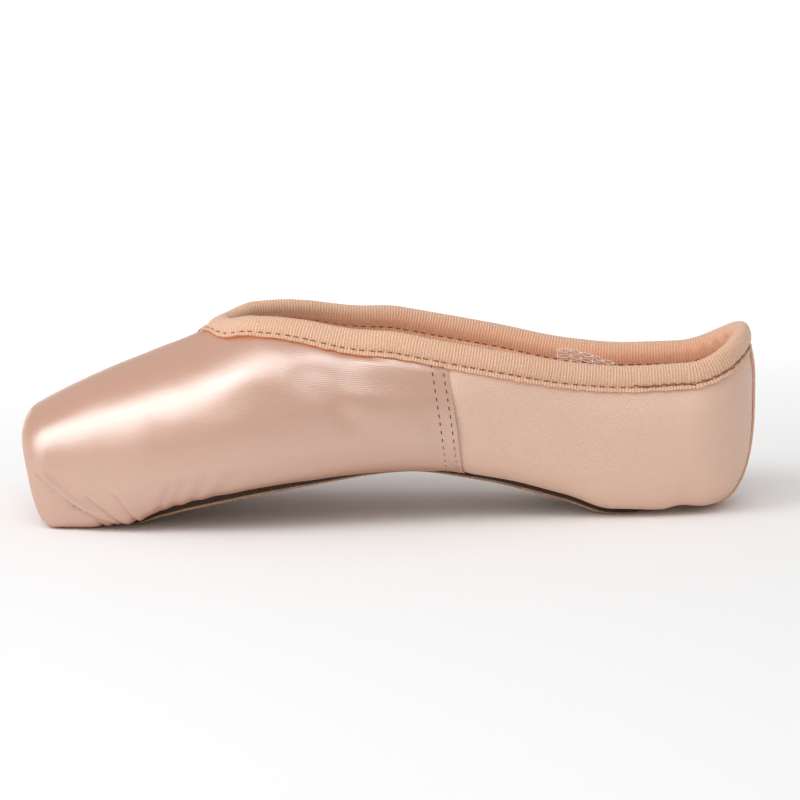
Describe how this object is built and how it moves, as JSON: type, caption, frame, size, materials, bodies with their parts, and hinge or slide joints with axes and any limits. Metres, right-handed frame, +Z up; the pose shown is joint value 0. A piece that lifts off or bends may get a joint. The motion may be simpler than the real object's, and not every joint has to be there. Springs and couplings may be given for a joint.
{
  "type": "pointe shoe",
  "caption": "Satin pointe shoe with a hard flat-tipped box, ribbon-bound collar, arched leather outsole and soft heel.",
  "frame": {"origin": "on the floor under the middle of the shoe, halfway along its length", "axes": "+X from toe to heel, +Z up from the floor, +Y to the wearer's right when facing the toe; the shoe is the same on both sides"},
  "size_m": [0.24, 0.076, 0.0675],
  "materials": {
    "satin": "satin",
    "ribbon": "matt ribbed",
    "sole_leather": "suede",
    "lining_cloth": "matt"
  },
  "bodies": {
    "root": {"upper": "satin", "outsole": "sole_leather", "insole": "lining_cloth", "binding": "ribbon", "back_seam_tape": "ribbon"}
  },
  "joints": []
}
